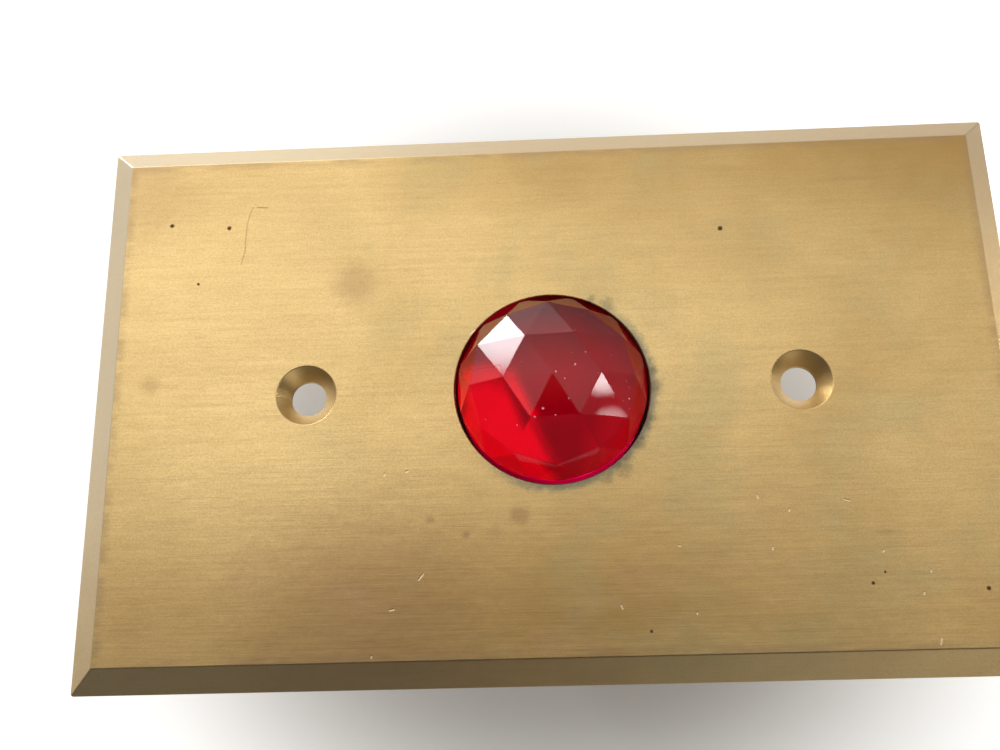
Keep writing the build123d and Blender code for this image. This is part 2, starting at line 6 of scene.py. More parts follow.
import bmesh
import bpy
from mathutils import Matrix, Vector


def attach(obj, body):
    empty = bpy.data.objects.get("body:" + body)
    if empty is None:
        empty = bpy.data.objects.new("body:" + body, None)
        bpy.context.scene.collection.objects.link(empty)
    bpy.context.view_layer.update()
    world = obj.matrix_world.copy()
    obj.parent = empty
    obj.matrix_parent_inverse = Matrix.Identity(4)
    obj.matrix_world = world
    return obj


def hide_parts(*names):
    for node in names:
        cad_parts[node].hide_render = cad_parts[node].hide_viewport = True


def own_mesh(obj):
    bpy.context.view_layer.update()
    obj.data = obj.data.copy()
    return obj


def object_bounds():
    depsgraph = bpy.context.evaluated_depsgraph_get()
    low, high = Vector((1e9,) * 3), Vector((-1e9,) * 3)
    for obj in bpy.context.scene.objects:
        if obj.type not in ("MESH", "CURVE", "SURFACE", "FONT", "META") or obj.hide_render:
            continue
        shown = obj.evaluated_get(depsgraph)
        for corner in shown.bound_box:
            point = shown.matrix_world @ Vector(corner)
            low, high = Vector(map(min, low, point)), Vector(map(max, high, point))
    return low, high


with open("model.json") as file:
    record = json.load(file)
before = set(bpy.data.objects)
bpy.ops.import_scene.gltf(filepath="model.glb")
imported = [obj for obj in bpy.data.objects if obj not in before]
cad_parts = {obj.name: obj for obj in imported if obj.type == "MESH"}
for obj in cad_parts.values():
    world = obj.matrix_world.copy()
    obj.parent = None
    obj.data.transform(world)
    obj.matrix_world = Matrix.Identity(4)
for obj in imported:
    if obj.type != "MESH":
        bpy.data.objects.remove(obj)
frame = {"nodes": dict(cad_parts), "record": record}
CAD_LOW, CAD_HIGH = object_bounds()

MM = 0.001

# ---- the camera stands over the plate and a little below its middle ----
CAMERA_AT = (-1.72, -36.55, 130.26)
CAMERA_TURN = (16.632, 2.413, -1.193)
CAMERA_LENS = 39.3
CAMERA_SENSOR = 36.0
CLIP_NEAR = 0.005
CLIP_FAR = 50.0

# ---- the floor lies under the stem's tail at full travel ----
# its glow is a painted pool of light that fades far out, with a painted shadow under the plate; the
# reaches are radii in mm
TRAVEL = 2.5
FLOOR_DROP = 2.0
FLOOR_HALF = 4.0
FLOOR_COLOUR = (0.86, 0.855, 0.84)
FLOOR_GLOW = 0.75
FLOOR_FAR_GLOW = 0.12
FLOOR_LIGHT_POOL_REACH = (150.0, 420.0)
FLOOR_PAINTED_SHADOW = 0.06
FLOOR_PAINTED_SHADOW_REACH = (36.0, 80.0)

# ---- studio light: soft lobes on a dim sky ----
SKY_LEVEL = 0.13
SKY_COLOUR = (0.92, 0.96, 1.0)
BACKDROP_COLOUR = (0.93, 0.93, 0.92)
# each lobe: azimuth and elevation, bright core and faded edge in degrees from them, strength, colour
# a lobe below zero takes light away, and the notes say what mirrors each one towards the camera
LIGHT_LOBES = (
    # most of the face, with the right and top bevels
    (67, 22, 58, 80, 0.54, (1.0, 0.99, 0.97)),
    # the left and the right part of the face
    (145, 60, 4, 42, 0.82, (1.0, 0.99, 0.97)),
    (28, 62, 4, 27, 0.50, (1.0, 0.99, 0.97)),
    # the lower part of the face
    (-85, 80, 8, 25, -1.00, (0.92, 1.0, 1.05)),
    # the two bright facets at the jewel's upper left
    (130.3, 10.2, 2.2, 4.2, 26.0, (1.0, 1.0, 1.0)),
    (134.6, 15.2, 1.2, 3.4, 19.0, (1.0, 0.99, 1.0)),
    # the left end of the top bevel, and the jewel's upper facets
    (115, 12, 12, 42, 1.10, (1.0, 1.0, 0.99)),
    # the left bevel
    (162, 4, 10, 30, 0.56, (1.0, 0.99, 1.0)),
    # the lower right wall of the right screw hole
    (123, 1, 3, 8, 10.0, (1.0, 0.98, 0.94)),
    # the bright facet right of the jewel's middle
    (-9.0, 30.6, 0.7, 1.7, 21.0, (1.0, 0.97, 0.97)),
    (-12.2, 29.3, 0.5, 1.15, 8.0, (1.0, 0.95, 0.95)),
    # the left wall of the left screw hole
    (12.5, 9, 2, 5.5, 12.0, (1.0, 0.98, 0.94)),
    # the right end of the bottom bevel
    (-55, 13, 8, 26, 0.85, (1.0, 0.98, 0.93)),
    # one dark facet near the jewel's top
    (83, 2, 3, 7, -0.55, (1.0, 1.0, 1.0)),
)

# ---- plate and jewel, as built ----
PLATE_HALF_X = 114.3 / 2
PLATE_HALF_Y = 69.85 / 2
PLATE_FRONT = 2.4
BEVEL_WIDTH = 3.0
SCREW_X = 60.325 / 2
COUNTERSINK_R = 3.75
JEWEL_HOLE_R = 23.8125 / 2

GIRDLE_R = 11.5
FACET_ROUND = 0.08
FACET_FLATNESS = 0.5
FACET_EDGE_ANGLE = 3.0
GLASS_SHARP_ANGLE = 30
INSIDE_GIRDLE = GIRDLE_R * 0.999
JEWEL_WELD = 0.001

# ---- marks on the plate's face: x, y and radius in mm ----
DARK_DOTS = (
    (-48.3, 23.3, 0.24),
    (-40.8, 22.7, 0.26),
    (-44.4, 15.1, 0.18),
    (21.9, 20.2, 0.27),
    (35.8, -24.4, 0.20),
    (37.3, -23.2, 0.14),
    (48.7, -25.3, 0.24),
    (10.3, -29.2, 0.18),
)
# brown stains: x, y, radius and strength; the last two are broad, soft darkenings of the lower left and
# of the top left corner
STAINS = (
    (-24.4, 14.5, 2.4, 0.36),
    (-4.3, -15.6, 1.05, 0.55),
    (-10.7, -17.7, 0.38, 0.55),
    (-14.9, -15.8, 0.42, 0.45),
    (-7.4, -17.2, 0.7, 0.20),
    (-49.6, 1.9, 1.1, 0.30),
    (26.5, -13.5, 4.5, 0.10),
    (-23.0, -28.0, 13.0, 0.40),
    (-54.0, 28.5, 7.0, 0.32),
)
# flecks: x, y, length and slant in degrees
FLECKS = (
    (-20.4, -10.2, 0.25, 60),
    (-17.7, -9.9, 0.20, 30),
    (-16.0, -22.4, 0.85, 52),
    (-19.4, -26.1, 0.50, 12),
    (-21.7, -31.3, 0.15, 90),
    (23.6, -14.1, 0.35, 95),
    (27.1, -15.8, 0.20, 80),
    (33.9, -14.8, 0.60, -15),
    (14.1, -19.6, 0.15, 0),
    (24.8, -20.2, 0.25, 85),
    (37.4, -20.8, 0.20, 60),
    (42.5, -23.2, 0.20, 75),
    (41.4, -25.7, 0.20, 70),
    (7.1, -26.4, 0.40, 110),
    (15.6, -27.3, 0.15, 90),
    (42.6, -31.0, 0.70, 75),
    (-9.6, 7.5, 0.80, 42),
)
FLECK_WIDTH = 0.14
SCRATCH_WIDTH = 0.13
# rubbed smears along the brush's lay: middle x, y, half length, half width and strength
SMEARS = (
    (38.1, -18.6, 2.4, 0.45, 0.30),
    (-21.0, -17.2, 3.0, 0.6, 0.12),
    (-27.5, -6.2, 2.4, 0.5, 0.12),
    (38.0, 26.4, 7.0, 0.6, 0.16),
    (24.0, 28.4, 5.0, 0.5, 0.12),
)
SCRATCHES = (
    ((-37.8, 25.4), (-38.2, 24.3), (-38.5, 22.8), (-38.6, 20.9), (-38.6, 19.3), (-39.0, 17.6)),
    ((-37.2, 25.4), (-35.9, 25.3)),
)
# tarnish patches at the jewel's rim
RIM_PATCHES = (
    (12.5, -0.2, 0.8),
    (12.2, 1.8, 0.5),
    (11.2, -4.5, 0.8),
    (10.2, -7.0, 0.8),
    (8.2, -10.1, 1.0),
    (6.2, -11.4, 0.6),
    (7.2, 10.6, 0.8),
    (5.1, 11.2, 0.5),
)
# small chips where the jewel's facets meet; their pale colour is a painted glint as well as chipped
# glass
GLASS_CHIPS_AND_GLINTS = (
    (0.4, 0.1, 0.12),
    (1.4, -0.7, 0.10),
    (2.7, 1.0, 0.12),
    (-2.2, -5.1, 0.12),
    (-1.2, -4.2, 0.14),
    (1.8, -3.1, 0.09),
    (4.0, 2.5, 0.08),
    (-4.3, -5.8, 0.08),
    (0.2, -5.0, 0.08),
    (9.0, -2.6, 0.09),
)

# ---- return spring, between the bush's flange and the stem's collar ----
SPRING_R = 4.6
SPRING_WIRE_R = 0.4
SPRING_BOTTOM = -21.7
SPRING_TOP = -12.4
SPRING_TURNS = 6.5
SPRING_CLOSED_TURNS = 1.0
SPRING_CLOSED_PITCH = 2.04  # in radii of the wire
SPRING_STEPS = 48
WIRE_SIDES = 14
GROUND_SHARE = 0.35  # of the wire's radius, from the ground face to the wire's middle

# ---- number 4-40 thread on the studs ----
STUD_R = 1.42
STUD_CIRCLE_R = 18.0
STUD_ANGLES = (45, 135, 225, 315)
STUD_TOP = 1.0
STUD_END = -30.38
STUD_CHAMFER = 0.3
THREAD_TOP = -26.0
THREAD_PITCH = 0.635
THREAD_DEPTH = 0.3
THREAD_FLANK = 1.15  # steepness; over 1 it leaves a flat root
THREAD_SIDES = 32
THREAD_STEPS = 10


class Graph:
    """One node tree, with short calls for the nodes the finishes are made of."""

    def __init__(self, tree):
        self.tree = tree
        tree.nodes.clear()

    def feed(self, socket, value):
        """Links a socket, or sets a number, vector or colour on it."""
        if isinstance(value, bpy.types.NodeSocket):
            self.tree.links.new(value, socket)
        elif socket.type == "RGBA" and len(value) == 3:
            socket.default_value = (*value, 1.0)
        else:
            socket.default_value = value

    def add(self, kind, settings=None, inputs=None):
        """A new node with its settings, and with its inputs by name or number."""
        node = self.tree.nodes.new(kind)
        for name, value in (settings or {}).items():
            setattr(node, name, value)
        for name, value in (inputs or {}).items():
            self.feed(node.inputs[name], value)
        return node

    def math(self, operation, first, second=0.0, clamp=False):
        settings = {"operation": operation, "use_clamp": clamp}
        return self.add("ShaderNodeMath", settings, {0: first, 1: second}).outputs[0]

    def total(self, first, second, clamp=False):
        return self.math("ADD", first, second, clamp)

    def difference(self, first, second, clamp=False):
        return self.math("SUBTRACT", first, second, clamp)

    def product(self, first, second):
        return self.math("MULTIPLY", first, second)

    def maximum(self, first, second):
        return self.math("MAXIMUM", first, second)

    def inverted(self, share):
        """1 where the share is 0, and 0 where it is 1."""
        return self.math("SUBTRACT", 1.0, share)

    def vector(self, operation, first, second=(0.0, 0.0, 0.0)):
        settings = {"operation": operation}
        node = self.add("ShaderNodeVectorMath", settings, {0: first, 1: second})
        return node.outputs["Value" if operation in ("LENGTH", "DOT_PRODUCT") else "Vector"]

    def times(self, vector, factor):
        inputs = {0: vector, 3: factor}
        return self.add("ShaderNodeVectorMath", {"operation": "SCALE"}, inputs).outputs["Vector"]

    def combine(self, x, y, z):
        return self.add("ShaderNodeCombineXYZ", None, {0: x, 1: y, 2: z}).outputs[0]

    def smooth(self, value, low, high, at_low=0.0, at_high=1.0):
        """Smooth step from at_low at low to at_high at high."""
        inputs = {"Value": value, "From Min": low, "From Max": high, "To Min": at_low, "To Max": at_high}
        return self.add("ShaderNodeMapRange", {"interpolation_type": "SMOOTHSTEP"}, inputs).outputs[0]

    def noise(self, at, scale=1.0, detail=3.0, roughness=0.55, distortion=0.0):
        inputs = {
            "Vector": at,
            "Scale": scale,
            "Detail": detail,
            "Roughness": roughness,
            "Distortion": distortion,
        }
        return self.add("ShaderNodeTexNoise", None, inputs).outputs["Fac"]

    def cells(self, at, scale, feature="F1"):
        inputs = {"Vector": at, "Scale": scale}
        return self.add("ShaderNodeTexVoronoi", {"feature": feature}, inputs).outputs["Distance"]

    def mix(self, share, first, second):
        """The first colour where the share is 0, and the second where it is 1."""
        settings = {"data_type": "RGBA", "clamp_factor": True}
        return self.add("ShaderNodeMix", settings, {0: share, 6: first, 7: second}).outputs[2]

    def bump(self, height, depth, strength=1.0, under=None):
        """Bump from a height of 0 to 1 that stands for depth in mm."""
        inputs = {"Height": height, "Distance": depth * MM, "Strength": strength}
        if under is not None:
            inputs["Normal"] = under
        return self.add("ShaderNodeBump", None, inputs).outputs["Normal"]


class Finish(Graph):
    """One material: a Principled shader and the place on the part in millimetres."""

    def __init__(self, name):
        self.material = bpy.data.materials.new(name)
        self.material.use_nodes = True
        super().__init__(self.material.node_tree)
        self.shader = self.add("ShaderNodeBsdfPrincipled")
        self.output = self.add("ShaderNodeOutputMaterial", None, {"Surface": self.shader.outputs[0]})
        local = self.add("ShaderNodeTexCoord").outputs["Object"]
        self.place = self.times(local, 1 / MM)
        split = self.add("ShaderNodeSeparateXYZ", None, {0: self.place})
        self.x, self.y, self.z = split.outputs

    def set(self, **inputs):
        """Feeds the shader; Base_Color stands for its Base Color."""
        for name, value in inputs.items():
            self.feed(self.shader.inputs[name.replace("_", " ")], value)

    def stretched(self, x, y, z):
        """The place, with each axis scaled."""
        return self.vector("MULTIPLY", self.place, (x, y, z))

    def distance(self, x, y):
        """Distance in the plate's plane from one point."""
        aside = self.combine(self.difference(self.x, x), self.difference(self.y, y), 0.0)
        return self.vector("LENGTH", aside)

    def radius(self):
        return self.vector("LENGTH", self.combine(self.x, self.y, 0.0))

    def spots(self, marks, ragged, softness):
        """Mask of round marks with ragged edges."""
        mask = None
        for x, y, size in marks:
            reach = self.total(self.distance(x, y), self.product(ragged, size))
            spot = self.smooth(reach, size * (1 - softness), size * (1 + softness), 1.0, 0.0)
            mask = spot if mask is None else self.maximum(mask, spot)
        return mask

    def smear(self, x, y, half_length, half_width):
        """Mask of one long mark that fades out on every side."""
        along = self.math("DIVIDE", self.difference(self.x, x), half_length)
        across = self.math("DIVIDE", self.difference(self.y, y), half_width)
        return self.smooth(self.vector("LENGTH", self.combine(along, across, 0.0)), 0.0, 1.0, 1.0, 0.0)

    def line(self, points, width):
        """Mask of a thin line through points."""
        mask = None
        for (x1, y1), (x2, y2) in zip(points, points[1:]):
            run_x, run_y = x2 - x1, y2 - y1
            run = run_x * run_x + run_y * run_y
            ahead = self.vector("DOT_PRODUCT", self.place, (run_x / run, run_y / run, 0.0))
            start = (x1 * run_x + y1 * run_y) / run
            share = self.difference(ahead, start, clamp=True)
            on_x = self.total(self.product(share, run_x), x1)
            on_y = self.total(self.product(share, run_y), y1)
            aside = self.combine(
                self.difference(self.x, on_x), self.difference(self.y, on_y), 0.0
            )
            near = self.smooth(self.vector("LENGTH", aside), width * 0.2, width, 1.0, 0.0)
            mask = near if mask is None else self.maximum(mask, near)
        return mask


def add_object(name, mesh):
    """A new object for a mesh, in the scene."""
    piece = bpy.data.objects.new(name, mesh)
    bpy.context.scene.collection.objects.link(piece)
    return piece


def mesh_from(name, points, faces, sharp_angle):
    """Smooth-shaded mesh from points in millimetres."""
    mesh = bpy.data.meshes.new(name)
    mesh.from_pydata([(x * MM, y * MM, z * MM) for x, y, z in points], [], faces)
    mesh.update()
    mesh.shade_smooth()
    mesh.set_sharp_from_angle(angle=math.radians(sharp_angle))
    return mesh


def tube_faces(rings, sides, start):
    """Faces between neighbouring rings of points, with both ends closed."""
    faces = []
    for ring in range(rings - 1):
        low = start + ring * sides
        high = low + sides
        for side in range(sides):
            after = (side + 1) % sides
            faces.append((low + side, low + after, high + after, high + side))
    faces.append(tuple(start + side for side in reversed(range(sides))))
    faces.append(tuple(start + (rings - 1) * sides + side for side in range(sides)))
    return faces


# ---- metals: how far the roughness varies, and the height of the relief in mm ----
METAL_SPREAD = 0.10
METAL_RELIEF = 0.006


def metal(name, bright, dull, roughness, lay=(2.0, 2.0, 2.0), turned=False):
    """Metal with patchy dulling, handling marks and the fine lay of its making."""
    finish = Finish(name)
    patches = finish.noise(finish.place, 0.22, 4.0, 0.6, 0.3)
    dulling = finish.smooth(patches, 0.35, 0.68)
    if turned:
        across = finish.combine(finish.radius(), 0.0, finish.z)
        grain = finish.noise(across, 9.0, 2.0, 0.6)
    else:
        grain = finish.noise(finish.stretched(*lay), 3.0, 3.0, 0.6)
    fine = finish.noise(finish.place, 3.2, 3.0, 0.6)
    colour = finish.mix(dulling, bright, dull)
    grain_share = finish.smooth(grain, 0.3, 0.7, 0.0, 0.35)
    colour = finish.mix(grain_share, colour, dull)
    worn = finish.smooth(fine, 0.3, 0.7, roughness - METAL_SPREAD, roughness + METAL_SPREAD)
    rough = finish.total(worn, finish.product(dulling, METAL_SPREAD))
    finish.set(
        Base_Color=colour,
        Metallic=1.0,
        Roughness=rough,
        Normal=finish.bump(grain, METAL_RELIEF, 1.0, finish.bump(fine, METAL_RELIEF)),
    )
    return finish.material


def moulded(name, colour, light, roughness):
    """Phenolic moulding: faint flow mottle, dusty bloom and fine pits."""
    finish = Finish(name)
    flow = finish.noise(finish.place, 0.16, 5.0, 0.6, 1.2)
    mottle = finish.noise(finish.place, 1.5, 3.0, 0.6)
    pits = finish.cells(finish.place, 1.1)
    colour_flow = finish.mix(finish.smooth(flow, 0.4, 0.65, 0.0, 0.55), colour, light)
    dust = finish.smooth(finish.noise(finish.place, 0.5, 6.0, 0.7), 0.52, 0.75, 0.0, 0.25)
    finish.set(
        Base_Color=finish.mix(dust, colour_flow, (0.33, 0.30, 0.26)),
        Roughness=finish.smooth(mottle, 0.25, 0.75, roughness - 0.08, roughness + 0.16),
        Normal=finish.bump(
            finish.smooth(pits, 0.03, 0.14), 0.02, 0.5, finish.bump(mottle, 0.015, 0.5)
        ),
    )
    finish.set(Coat_Weight=0.15, Coat_Roughness=0.2)
    return finish.material


def fibre(name, colour, light, roughness):
    """Pressed fibre sheet: short tangled strands."""
    finish = Finish(name)
    strands = finish.noise(finish.place, 2.6, 5.0, 0.7, 1.6)
    patches = finish.noise(finish.place, 0.4, 3.0, 0.6)
    shade = finish.total(finish.product(strands, 0.7), finish.product(patches, 0.3))
    finish.set(
        Base_Color=finish.mix(finish.smooth(shade, 0.35, 0.65), colour, light),
        Roughness=finish.smooth(strands, 0.3, 0.7, roughness - 0.08, roughness + 0.1),
        Normal=finish.bump(strands, 0.05, 0.8),
    )
    return finish.material


def cork_finish(name):
    """Granulated cork: pale grains between dark seams."""
    finish = Finish(name)
    grains = finish.cells(finish.place, 1.6, "SMOOTH_F1")
    tone = finish.noise(finish.place, 1.1, 3.0, 0.6)
    grain_colour = finish.mix(finish.smooth(tone, 0.35, 0.65), (0.50, 0.31, 0.17), (0.66, 0.46, 0.28))
    seams = finish.smooth(grains, 0.3, 0.55, 0.0, 0.7)
    finish.set(
        Base_Color=finish.mix(seams, grain_colour, (0.20, 0.11, 0.06)),
        Roughness=0.85,
        Normal=finish.bump(finish.smooth(grains, 0.2, 0.6, 1.0, 0.0), 0.08, 0.8),
    )
    return finish.material


def ruby_finish(name):
    """Pressed and fire-polished ruby glass, with fine chips also painted pale as glints, a ground wall
    below the plate's face darkened as painted shade, and a low skirt painted deeper red with dimmed
    reflections as painted shade.
    """
    finish = Finish(name)
    waves = finish.noise(finish.place, 0.35, 2.0, 0.5)
    specks = finish.cells(finish.place, 0.9)
    ragged = finish.difference(finish.noise(finish.place, 6.0, 2.0), 0.5)
    # the chips' pale colour is also a painted glint
    chips_and_glints = finish.smooth(specks, 0.02, 0.06, 1.0, 0.0)
    chips_and_glints = finish.maximum(chips_and_glints, finish.spots(GLASS_CHIPS_AND_GLINTS, finish.product(ragged, 3.0), 0.4))
    chips_and_glints = finish.product(chips_and_glints, finish.smooth(finish.z, 2.5, 3.0))
    dust = finish.smooth(finish.noise(finish.place, 2.2, 4.0, 0.7), 0.58, 0.75)
    # the ground wall is rougher, and its dark colour is painted shade in the plate's hole
    outside = finish.smooth(finish.radius(), GIRDLE_R - 0.3, GIRDLE_R - 0.1)
    ground_wall_and_painted_shade = finish.product(outside, finish.smooth(finish.z, PLATE_FRONT - 0.1, PLATE_FRONT - 0.4))
    # painted shade: the low skirt is deeper red and its reflections are dimmed
    skirt_painted_shade = finish.smooth(finish.z, PLATE_FRONT + 3.0, PLATE_FRONT + 2.2)
    body = finish.mix(skirt_painted_shade, (0.97, 0.045, 0.155), (0.95, 0.030, 0.070))
    colour = finish.mix(chips_and_glints, body, (0.98, 0.62, 0.60))
    rough = finish.total(finish.product(chips_and_glints, 0.35), finish.product(dust, 0.05))
    finish.set(
        # the wall's dark colour is painted shade
        Base_Color=finish.mix(ground_wall_and_painted_shade, colour, (0.40, 0.012, 0.020)),
        Roughness=finish.total(rough, finish.product(ground_wall_and_painted_shade, 0.30)),
        IOR=1.43,
        # the low skirt's dimmed reflections are painted shade
        Specular_Tint=finish.mix(skirt_painted_shade, (1.0, 1.0, 1.0), (0.40, 0.34, 0.38)),
        Transmission_Weight=finish.inverted(finish.product(chips_and_glints, 0.75)),
        Normal=finish.bump(waves, 0.003, 0.6, finish.bump(chips_and_glints, 0.03, 0.6)),
    )
    glass_body = {"Color": (0.97, 0.05, 0.96), "Density": 150.0}
    absorption = finish.add("ShaderNodeVolumeAbsorption", None, glass_body)
    finish.feed(finish.output.inputs["Volume"], absorption.outputs[0])
    return finish.material


def tin_finish(name):
    """Tinned dish: clean and bright on the lower left of its floor, stained on the rest under a film
    painted paler to the upper right; the clean side and the paler film are painted light for the glow
    seen through the jewel.
    """
    finish = Finish(name)
    aslant = finish.total(finish.x, finish.product(finish.y, 0.41))
    stain = finish.maximum(finish.smooth(aslant, -4.0, -1.3), finish.smooth(finish.y, 1.0, 6.2))
    fine = finish.noise(finish.place, 3.0, 3.0, 0.6)
    tin = finish.mix(finish.smooth(fine, 0.3, 0.7, 0.0, 0.15), (0.95, 0.95, 0.94), (0.75, 0.75, 0.74))
    # painted light: the film is paler to the upper right
    painted_glow = finish.maximum(finish.smooth(finish.y, -4.0, 5.0), finish.smooth(finish.x, 1.5, 6.5))
    film_with_painted_glow = finish.mix(painted_glow, (0.52, 0.50, 0.48), (0.92, 0.90, 0.88))
    finish.set(
        Base_Color=finish.mix(stain, tin, film_with_painted_glow),
        Metallic=finish.smooth(stain, 0.0, 1.0, 0.92, 0.12),
        Roughness=finish.smooth(stain, 0.0, 1.0, 0.18, 0.50),
        Normal=finish.bump(fine, 0.004),
    )
    return finish.material


# ---- the plate's colours ----
GOLD_BRASS = (0.80, 0.575, 0.258)
TARNISHED_AND_SHADED_BRASS = (0.42, 0.255, 0.085)
OLIVE_TARNISH = (0.46, 0.39, 0.19)
PINK_TARNISH = (0.54, 0.34, 0.18)
LAY_STREAK = (0.36, 0.235, 0.095)
STAIN_BROWN = (0.33, 0.19, 0.095)
DOT_BROWN = (0.10, 0.055, 0.03)
FLECK_GOLD = (0.95, 0.80, 0.58)
SCRATCH_BROWN = (0.30, 0.18, 0.09)
SMEAR_BROWN = (0.24, 0.16, 0.08)
LEFT_BEVEL_PAINTED_REFLECTION = (0.76, 0.645, 0.465)
RIGHT_BEVEL_PAINTED_REFLECTION = (0.60, 0.48, 0.32)
EDGE_DIRT = (0.36, 0.24, 0.13)
VERDIGRIS_GREEN = (0.33, 0.34, 0.24)
TORN_PATCH = (0.17, 0.15, 0.09)
TURNED_BRASS = (0.68, 0.47, 0.20)
BRIGHT_SHEET = (0.56, 0.41, 0.19)
DULL_SHEET = (0.36, 0.25, 0.12)


def plate_lay(finish):
    """The brush ran along the long side, in streaks of several lengths and widths."""
    fine_lay = finish.noise(finish.stretched(0.35, 9.0, 9.0), 1.0, 3.0, 0.6)
    broad_lay = finish.noise(finish.stretched(0.07, 1.8, 1.8), 1.0, 4.0, 0.6)
    mottle = finish.noise(finish.place, 4.5, 3.0, 0.7)
    lay = finish.total(finish.product(fine_lay, 0.24), finish.product(broad_lay, 0.18))
    lay = finish.total(lay, finish.product(mottle, 0.58))
    return lay, fine_lay, broad_lay


def plate_tarnish_and_shade(finish, to_right):
    """Shares of tarnish with painted shade, and of the part low down, which fades to the lower right.
    The noise clouds are tarnish; the darkening to the right, low down, towards the bottom and towards
    the upper right is painted shade, and a band along the top is darker too.
    """
    clouds = finish.noise(finish.place, 0.045, 5.0, 0.55, 0.4)
    low_painted_shade = finish.smooth(finish.total(finish.y, finish.product(clouds, 14.0)), -2.0, -22.0)
    low_right = finish.smooth(finish.difference(finish.x, finish.y), 20.0, 70.0, 1.0, 0.28)
    low_painted_shade = finish.product(low_painted_shade, low_right)
    tarnish_and_painted_shade = finish.product(finish.difference(clouds, 0.5), 0.9)
    # painted shade: the plate is darkened to the right, low down, towards the bottom and towards the
    # upper right
    tarnish_and_painted_shade = finish.total(tarnish_and_painted_shade, finish.product(to_right, 0.26))
    tarnish_and_painted_shade = finish.total(tarnish_and_painted_shade, finish.product(low_painted_shade, 0.52))
    tarnish_and_painted_shade = finish.total(tarnish_and_painted_shade, finish.smooth(finish.y, 12.0, -12.0, 0.0, 0.10))
    to_top_right = finish.total(finish.x, finish.product(finish.y, 1.6))
    tarnish_and_painted_shade = finish.total(tarnish_and_painted_shade, finish.smooth(to_top_right, 20.0, 95.0, 0.0, 0.45))
    top_band = finish.smooth(finish.y, 19.0, 30.0, 0.0, 0.20)
    tarnish_and_painted_shade = finish.total(tarnish_and_painted_shade, top_band, clamp=True)
    return tarnish_and_painted_shade, low_painted_shade


def plate_skin(finish, lay, sunk, to_right):
    """Gold brass under brown, olive and pink tarnish, the brown also holding painted shade, with darker
    streaks along the lay.
    """
    tarnish_and_painted_shade, low_painted_shade = plate_tarnish_and_shade(finish, to_right)
    colour = finish.mix(tarnish_and_painted_shade, GOLD_BRASS, TARNISHED_AND_SHADED_BRASS)
    olive_share = finish.smooth(finish.noise(finish.place, 0.08, 4.0, 0.6), 0.45, 0.7, 0.0, 0.40)
    colour = finish.mix(finish.product(olive_share, to_right), colour, OLIVE_TARNISH)
    pink_share = finish.smooth(finish.noise(finish.place, 0.11, 3.0, 0.6), 0.50, 0.68, 0.0, 0.35)
    colour = finish.mix(finish.product(pink_share, low_painted_shade), colour, PINK_TARNISH)
    lay_share = finish.smooth(lay, 0.38, 0.64, 0.0, 0.30)
    lay_share = finish.product(lay_share, finish.inverted(sunk))
    return finish.mix(lay_share, colour, LAY_STREAK), tarnish_and_painted_shade


def plate_marks(finish, colour, ragged):
    """Stains, dark dots, pale flecks, a hairline scratch and rubbed smears."""
    for x, y, size, strength in STAINS:
        stain = finish.spots(((x, y, size),), ragged, 0.7)
        colour = finish.mix(finish.product(stain, strength), colour, STAIN_BROWN)
    dark_dots = finish.spots(DARK_DOTS, ragged, 0.35)
    colour = finish.mix(finish.product(dark_dots, 0.85), colour, DOT_BROWN)
    flecks = None
    for x, y, length, slant in FLECKS:
        run_x = 0.5 * length * math.cos(math.radians(slant))
        run_y = 0.5 * length * math.sin(math.radians(slant))
        fleck = finish.line(((x - run_x, y - run_y), (x + run_x, y + run_y)), FLECK_WIDTH)
        flecks = fleck if flecks is None else finish.maximum(flecks, fleck)
    colour = finish.mix(finish.product(flecks, 0.65), colour, FLECK_GOLD)
    scratch = finish.maximum(*[finish.line(points, SCRATCH_WIDTH) for points in SCRATCHES])
    colour = finish.mix(finish.product(scratch, 0.40), colour, SCRATCH_BROWN)
    for x, y, half_length, half_width, strength in SMEARS:
        smear = finish.smear(x, y, half_length, half_width)
        colour = finish.mix(finish.product(smear, strength), colour, SMEAR_BROWN)
    return colour, dark_dots, finish.maximum(flecks, scratch)


def plate_edges(finish, colour, to_right):
    """The bevels get a paler, greyer colour, most to the upper left, as a painted reflection, and dirt
    lies under their edge.
    """
    over_x = finish.difference(finish.math("ABSOLUTE", finish.x), PLATE_HALF_X - BEVEL_WIDTH)
    over_y = finish.difference(finish.math("ABSOLUTE", finish.y), PLATE_HALF_Y - BEVEL_WIDTH)
    from_edge = finish.maximum(over_x, over_y)
    on_face = finish.smooth(from_edge, -0.15, 0.1, 1.0, 0.0)
    # painted reflection: the bevels are paler and greyer, most to the upper left and on the left bevel
    bevel_side = finish.total(finish.product(finish.x, -0.5), finish.product(finish.y, 1.3))
    bevel_reflection_share = finish.smooth(bevel_side, -30.0, 35.0, 0.20, 0.75)
    bevel_reflection_share = finish.product(finish.inverted(on_face), bevel_reflection_share)
    bevel_painted_reflection = finish.mix(to_right, LEFT_BEVEL_PAINTED_REFLECTION, RIGHT_BEVEL_PAINTED_REFLECTION)
    colour = finish.mix(bevel_reflection_share, colour, bevel_painted_reflection)
    rim = finish.smooth(from_edge, -1.4, -0.2, 0.0, 0.45)
    gaps = finish.noise(finish.stretched(0.25, 1.0, 1.0), 0.6)
    rim = finish.product(rim, finish.smooth(gaps, 0.35, 0.6))
    return finish.mix(finish.product(rim, on_face), colour, EDGE_DIRT)


